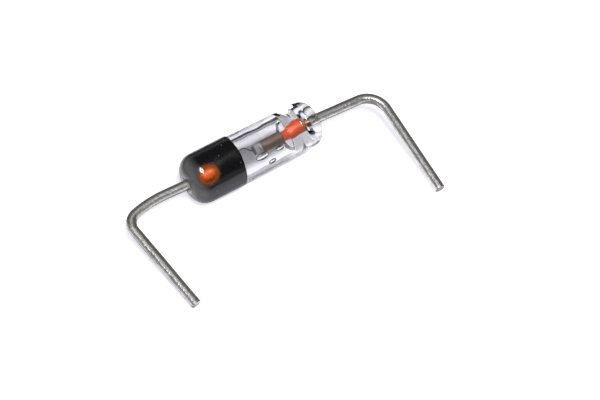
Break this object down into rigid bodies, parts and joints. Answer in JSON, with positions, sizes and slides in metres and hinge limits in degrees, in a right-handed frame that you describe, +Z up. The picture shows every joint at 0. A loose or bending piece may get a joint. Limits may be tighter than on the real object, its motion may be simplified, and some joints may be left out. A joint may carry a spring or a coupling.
{
  "type": "germanium diode",
  "caption": "Small glass-cased point-contact diode, one half in black lacquer and one half clear, with its wire leads bent to the same side.",
  "frame": {"origin": "under the middle of the whole part, on the surface that it lies on", "axes": "+X along the glass tube towards its clear end, +Z up, both leads point towards -Y and slope down to the surface"},
  "size_m": [0.0174, 0.009, 0.0031],
  "materials": {
    "clear_glass": "clear, fire-polished",
    "bead_glass": "clear, fused",
    "copper_clad_wire": "orange-red copper oxide under glass",
    "tinned_steel": "dull drawn wire",
    "nickel_cup": "dull brown oxide",
    "soft_solder": "dull",
    "germanium": "dark, etched",
    "whisker_wire": "bright drawn wire",
    "black_lacquer": "glossy"
  },
  "bodies": {
    "root": {"glass_tube": "clear_glass", "painted_end_bead": "bead_glass", "clear_end_bead": "bead_glass", "painted_end_seal_wire": "copper_clad_wire", "clear_end_seal_wire": "copper_clad_wire", "painted_end_lead": "tinned_steel", "clear_end_lead": "tinned_steel", "crystal_holder": "nickel_cup", "crystal_solder": "soft_solder", "germanium_crystal": "germanium", "contact_whisker": "whisker_wire", "whisker_weld": "soft_solder", "black_lacquer_coat": "black_lacquer"}
  },
  "joints": []
}
